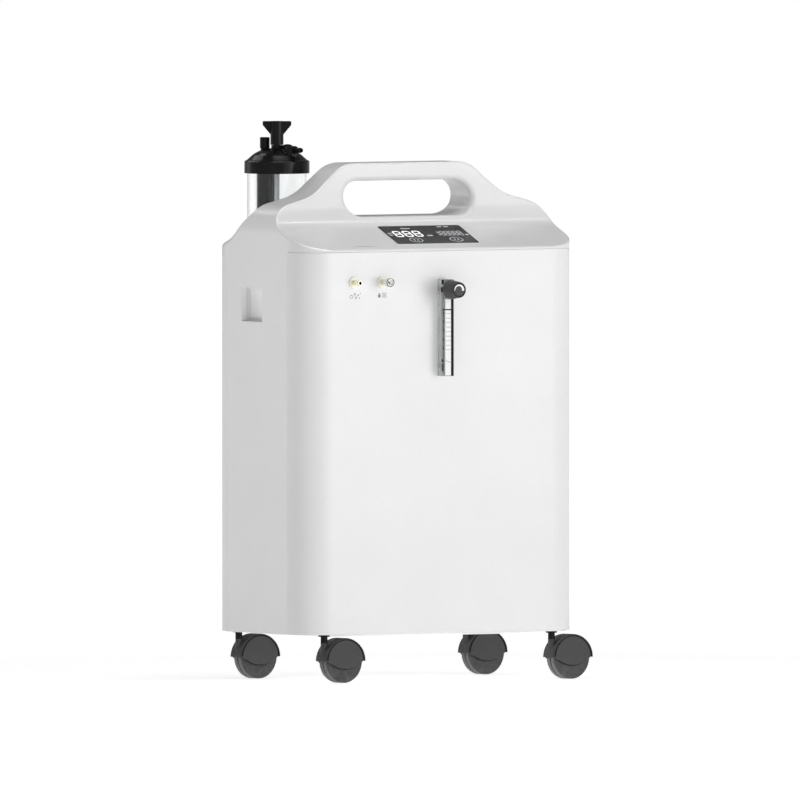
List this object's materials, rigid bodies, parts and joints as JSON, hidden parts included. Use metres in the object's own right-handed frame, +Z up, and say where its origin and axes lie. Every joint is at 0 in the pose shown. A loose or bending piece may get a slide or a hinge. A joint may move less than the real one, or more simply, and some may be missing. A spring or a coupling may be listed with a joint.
{
  "type": "oxygen concentrator",
  "caption": "Wheeled home oxygen concentrator: white cabinet with moulded handle, sloped display, front flowmeter and gas outlets, humidifier bottle in a rear pocket.",
  "frame": {"origin": "on the floor, under the middle of the whole object's box", "axes": "+X to the right seen from the front, +Y to the back, +Z up"},
  "size_m": [0.3892, 0.2614, 0.6418],
  "materials": {
    "shell_white": "satin white ABS moulding",
    "panel_white": "satin white ABS moulding",
    "display_glass": "smoked acrylic lens, glossy",
    "pcb_green": "solder-masked board",
    "clear_acrylic": "polished clear acrylic",
    "float_black": "turned float",
    "knob_black": "fine-textured black plastic",
    "brass": "turned brass",
    "plated_brass": "bright nickel plate",
    "white_nylon": "white nylon",
    "clear_jar": "clear polycarbonate jar",
    "lid_black": "black polypropylene",
    "stone_grey": "porous diffuser",
    "black_plastic": "black thermoplastic",
    "foam_grey": "open-cell foam",
    "cast_alloy": "cast alloy",
    "rubber_black": "moulded rubber",
    "sheet_steel": "zinc-plated sheet",
    "tank_white": "moulded canister",
    "alloy_block": "machined alloy",
    "copper_coil": "drawn copper-coloured tube",
    "filter_white": "filter housing",
    "hose_clear": "silicone hose",
    "caster_grey": "dark grey nylon",
    "wheel_grey": "dark grey polyurethane",
    "stem_black": "blackened steel",
    "screw_zinc": "zinc-plated steel",
    "button_black": "black plastic"
  },
  "bodies": {
    "cabinet": {"bacteria_filter": "filter_white", "base_plate": "panel_white", "bottle_cradle": "shell_white", "breaker_body": "black_plastic", "case_screws": "screw_zinc", "compressor_heads": "cast_alloy", "compressor_motor": "cast_alloy", "compressor_mounts": "rubber_black", "cooling_coil": "copper_coil", "display_board": "pcb_green", "display_window": "display_glass", "door_hinge_pins": "screw_zinc", "exhaust_muffler": "foam_grey", "fan_frame": "black_plastic", "filter_foam": "foam_grey", "flowmeter_body": "clear_acrylic", "front_panel": "panel_white", "inner_frame": "sheet_steel", "inner_hoses": "hose_clear", "intake_filter": "filter_white", "main_board": "pcb_green", "nebuliser_outlet": "plated_brass", "outer_shell": "shell_white", "outlet_flanges": "white_nylon", "oxygen_outlet": "brass", "oxygen_tank": "tank_white", "power_inlet": "black_plastic", "power_switch_bezel": "black_plastic", "pressure_regulator": "black_plastic", "rear_panel": "panel_white", "sieve_tanks": "tank_white", "start_capacitor": "cast_alloy", "valve_block": "alloy_block", "valve_solenoids": "alloy_block"},
    "knob": {"flow_knob": "knob_black", "flow_needle": "brass"},
    "float": {"flowmeter_float": "float_black"},
    "bottle": {"humidifier_jar": "clear_jar"},
    "lid": {"humidifier_lid": "lid_black", "humidifier_dip_tube": "filter_white", "humidifier_diffuser": "stone_grey", "humidifier_baffle_tube": "lid_black", "humidifier_relief_valve": "lid_black"},
    "wing_nut": {"humidifier_wing_nut": "lid_black"},
    "rocker": {"power_rocker": "black_plastic"},
    "reset_button": {"breaker_button": "button_black"},
    "door": {"filter_door": "panel_white"},
    "rotor": {"fan_rotor": "black_plastic"},
    "caster_fl": {"caster_fl_hood": "caster_grey", "caster_fl_stem": "stem_black"},
    "wheel_fl": {"caster_fl_wheel": "wheel_grey"},
    "caster_fr": {"caster_fr_hood": "caster_grey", "caster_fr_stem": "stem_black"},
    "wheel_fr": {"caster_fr_wheel": "wheel_grey"},
    "caster_rl": {"caster_rl_hood": "caster_grey", "caster_rl_stem": "stem_black"},
    "wheel_rl": {"caster_rl_wheel": "wheel_grey"},
    "caster_rr": {"caster_rr_hood": "caster_grey", "caster_rr_stem": "stem_black"},
    "wheel_rr": {"caster_rr_wheel": "wheel_grey"}
  },
  "joints": [
    {"name": "flow_knob_turn", "type": "hinge", "parent": "cabinet", "child": "knob", "pos_m": [-0.01115, -0.1127, 0.4513], "axis": [0, -1, 0], "range_deg": [0, 720]},
    {"name": "float_rise", "type": "slide", "parent": "cabinet", "child": "float", "axis": [0, 0, 1], "range_m": [0, 0.068]},
    {"name": "bottle_lift", "type": "slide", "parent": "cabinet", "child": "bottle", "axis": [0, 0, 1], "range_m": [0, 0.1]},
    {"name": "lid_unscrew", "type": "hinge", "parent": "bottle", "child": "lid", "pos_m": [-0.12784, 0.0843, 0.59], "axis": [0, 0, 1], "range_deg": [0, 450]},
    {"name": "wing_nut_spin", "type": "hinge", "parent": "lid", "child": "wing_nut", "pos_m": [-0.12784, 0.0843, 0.63], "axis": [0, 0, 1], "continuous": true},
    {"name": "power_switch_rock", "type": "hinge", "parent": "cabinet", "child": "rocker", "pos_m": [0.05636, 0.1223, 0.12], "axis": [1, 0, 0], "range_deg": [-16, 0]},
    {"name": "breaker_press", "type": "slide", "parent": "cabinet", "child": "reset_button", "axis": [0, -1, 0], "range_m": [0, 0.0025], "stiffness_N_per_m": 300, "springref_m": -0.002},
    {"name": "filter_door_open", "type": "hinge", "parent": "cabinet", "child": "door", "pos_m": [0.04016, 0.1287, 0.345], "axis": [0, 0, -1], "range_deg": [0, 110]},
    {"name": "fan_spin", "type": "hinge", "parent": "cabinet", "child": "rotor", "pos_m": [-0.02364, 0.0173, 0.255], "axis": [0, 0, 1], "continuous": true},
    {"name": "swivel_fl", "type": "hinge", "parent": "cabinet", "child": "caster_fl", "pos_m": [-0.16134, -0.0793, 0.06], "axis": [0, 0, 1], "continuous": true},
    {"name": "wheel_spin_fl", "type": "hinge", "parent": "caster_fl", "child": "wheel_fl", "pos_m": [-0.13794, -0.07717, 0.025], "axis": [-0.0906, 0.9959, 0], "continuous": true},
    {"name": "swivel_fr", "type": "hinge", "parent": "cabinet", "child": "caster_fr", "pos_m": [0.14205, -0.0793, 0.06], "axis": [0, 0, 1], "continuous": true},
    {"name": "wheel_spin_fr", "type": "hinge", "parent": "caster_fr", "child": "wheel_fr", "pos_m": [0.16546, -0.07717, 0.025], "axis": [-0.0906, 0.9959, 0], "continuous": true},
    {"name": "swivel_rl", "type": "hinge", "parent": "cabinet", "child": "caster_rl", "pos_m": [-0.16134, 0.1139, 0.06], "axis": [0, 0, 1], "continuous": true},
    {"name": "wheel_spin_rl", "type": "hinge", "parent": "caster_rl", "child": "wheel_rl", "pos_m": [-0.13794, 0.11603, 0.025], "axis": [-0.0906, 0.9959, 0], "continuous": true},
    {"name": "swivel_rr", "type": "hinge", "parent": "cabinet", "child": "caster_rr", "pos_m": [0.14205, 0.1139, 0.06], "axis": [0, 0, 1], "continuous": true},
    {"name": "wheel_spin_rr", "type": "hinge", "parent": "caster_rr", "child": "wheel_rr", "pos_m": [0.16546, 0.11603, 0.025], "axis": [-0.0906, 0.9959, 0], "continuous": true}
  ]
}
